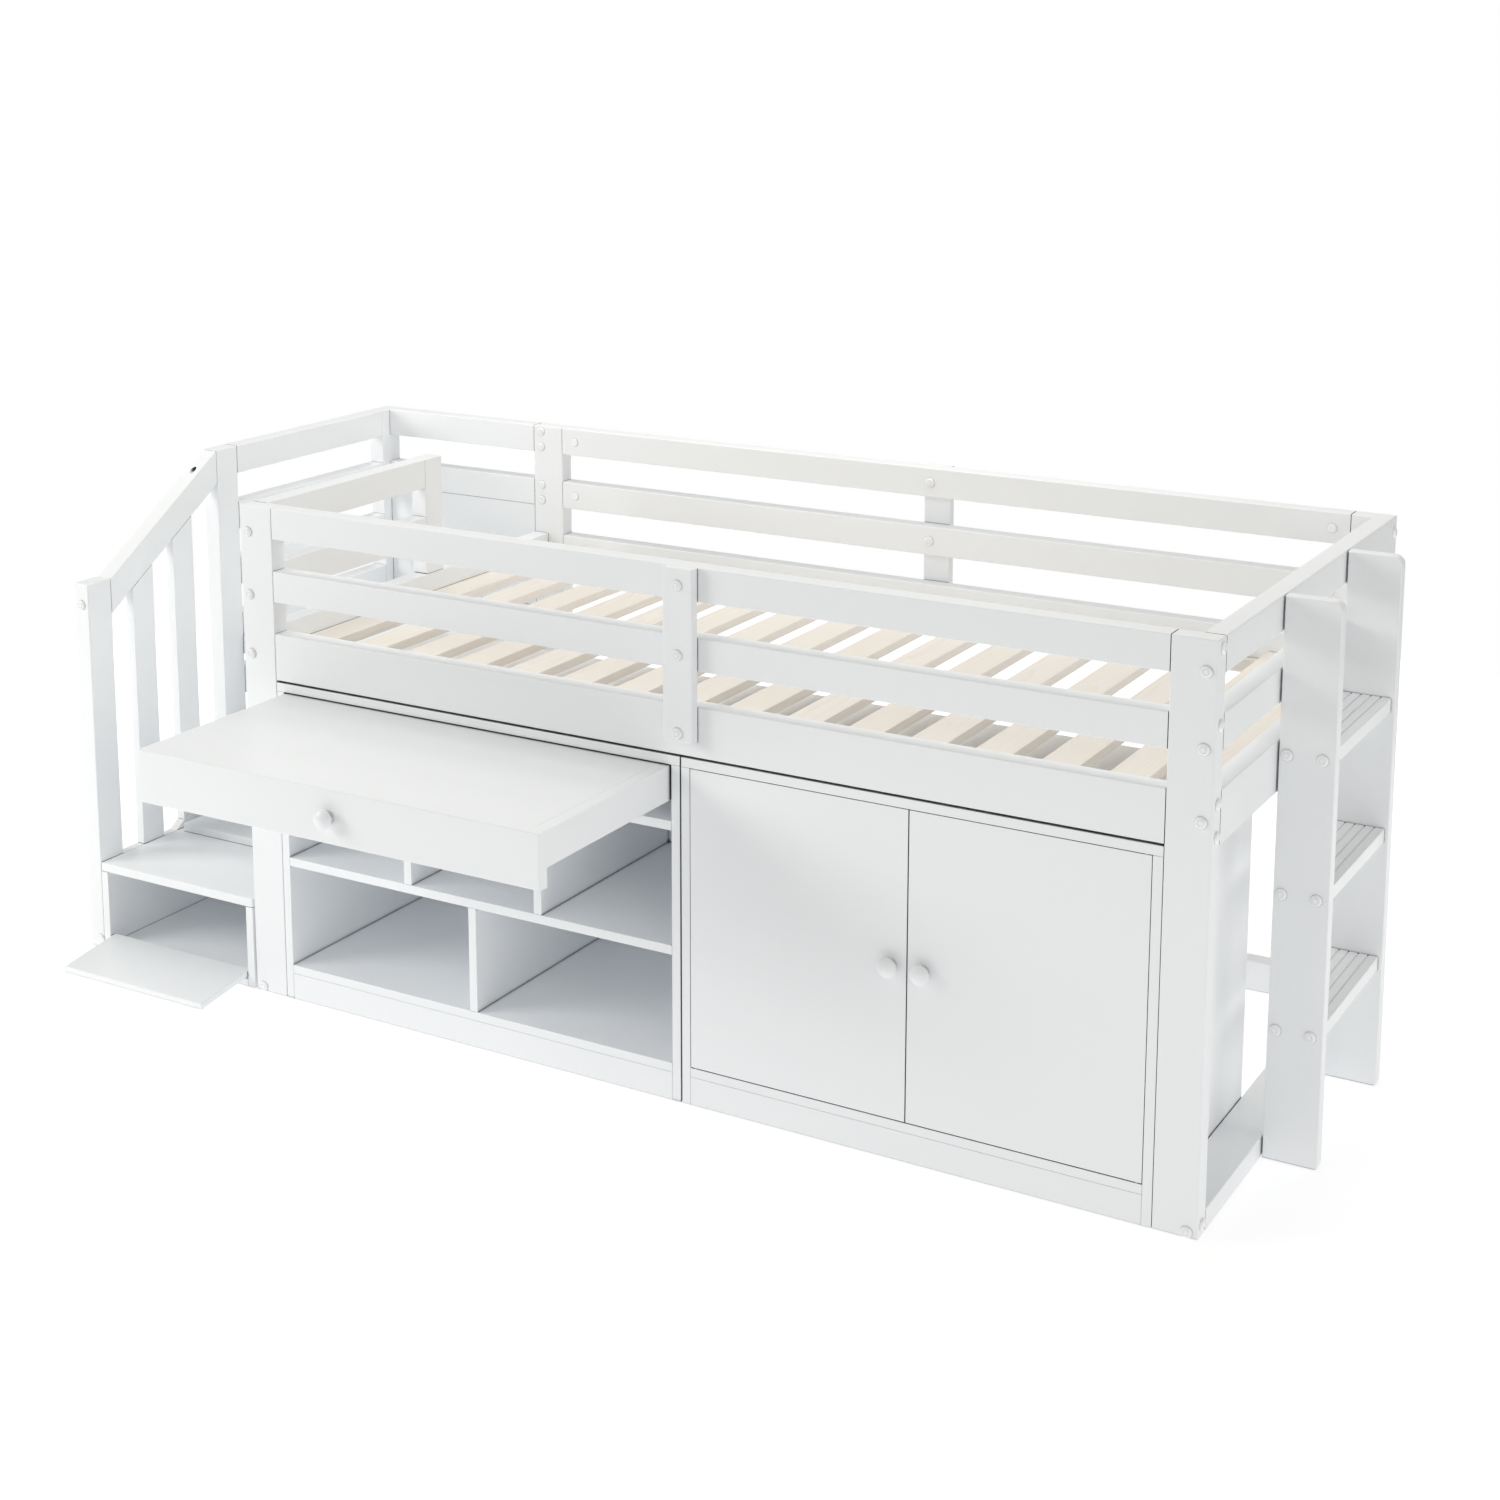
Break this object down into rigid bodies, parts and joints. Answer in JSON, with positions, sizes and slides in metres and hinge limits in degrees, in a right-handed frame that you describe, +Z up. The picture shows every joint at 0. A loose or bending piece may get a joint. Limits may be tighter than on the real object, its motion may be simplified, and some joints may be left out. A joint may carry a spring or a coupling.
{
  "type": "low loft kids bed",
  "caption": "Low loft kids bed in white painted wood with pine slats, railed side stairs, an end ladder, a pull-out desk over open cubbies and a cabinet with doors.",
  "frame": {"origin": "middle of the footprint on the floor, with the desk pulled out", "axes": "+X from the stairs to the ladder along the bed, +Y from the doors to the back, +Z up"},
  "size_m": [2.592, 1.515, 1.022],
  "materials": {
    "white_paint": "satin white paint",
    "natural_pine": "planed pine",
    "white_hardware": "satin white",
    "zinc_steel": "zinc plated",
    "dowel_wood": "plain"
  },
  "bodies": {
    "frame": {"barrel_nuts": "white_hardware", "bed_post_front_left": "white_paint", "bed_post_front_right": "white_paint", "bed_post_rear_left": "white_paint", "bed_post_rear_right": "white_paint", "bottom_stretchers": "white_paint", "cabinet_backs": "white_paint", "cabinet_bottoms": "white_paint", "cabinet_plinths": "white_paint", "desk_cabinet_dividers": "white_paint", "desk_cabinet_shelves": "white_paint", "desk_cabinet_sides": "white_paint", "desk_cabinet_top": "white_paint", "door_cabinet_shelf": "white_paint", "door_cabinet_sides": "white_paint", "door_cabinet_top": "white_paint", "entrance_post": "white_paint", "frame_bolts": "white_hardware", "front_guard_rails": "white_paint", "front_side_rail": "white_paint", "ladder_boards": "white_paint", "ladder_bolts": "white_hardware", "ladder_treads": "white_paint", "landing_board": "white_paint", "landing_supports": "white_paint", "left_end_rails": "white_paint", "mid_posts": "white_paint", "pivot_pins": "zinc_steel", "rear_guard_rails": "white_paint", "rear_side_rail": "white_paint", "right_end_rails": "white_paint", "runner_boards": "white_paint", "runner_fixed_channels": "zinc_steel", "slat_ledgers": "natural_pine", "slats": "natural_pine", "stair_balusters": "white_paint", "stair_bolts": "white_hardware", "stair_dowels": "dowel_wood", "stair_front_post": "white_paint", "stair_guard_rails": "white_paint", "stair_handrail": "white_paint", "stair_rear_panel": "white_paint", "stair_rear_post": "white_paint", "stair_rear_rails": "white_paint", "stair_side_panel": "white_paint", "stair_tall_post": "white_paint", "step_1_tread": "white_paint", "step_2_boards": "white_paint", "step_2_tread": "white_paint", "step_box_boards": "white_paint"},
    "desk": {"desk_top": "white_paint", "desk_frame": "white_paint", "desk_knob": "white_paint", "desk_channels": "zinc_steel"},
    "runner_middles": {"runner_middle_channels": "zinc_steel"},
    "left_door": {"left_door": "white_paint", "left_door_knob": "white_paint"},
    "right_door": {"right_door": "white_paint", "right_door_knob": "white_paint"},
    "step_flap": {"step_flap": "white_paint"}
  },
  "joints": [
    {"name": "desk_slide", "type": "slide", "parent": "frame", "child": "desk", "axis": [0, 1, 0], "range_m": [0, 0.412]},
    {"name": "runner_slide", "type": "slide", "parent": "frame", "child": "runner_middles", "axis": [0, 1, 0], "range_m": [0, 0.206]},
    {"name": "left_door_hinge", "type": "hinge", "parent": "frame", "child": "left_door", "pos_m": [0.229, -0.3145, 0.361], "axis": [0, 0, -1], "range_deg": [0, 90]},
    {"name": "right_door_hinge", "type": "hinge", "parent": "frame", "child": "right_door", "pos_m": [1.0846, -0.3145, 0.361], "axis": [0, 0, 1], "range_deg": [0, 90]},
    {"name": "step_flap_hinge", "type": "hinge", "parent": "frame", "child": "step_flap", "pos_m": [-1.0425, -0.312, 0.0265], "axis": [-1, 0, 0], "range_deg": [0, 97.72]}
  ],
  "couplings": [
    {"joint": "runner_slide", "follows": "desk_slide", "ratio": 0.5}
  ]
}
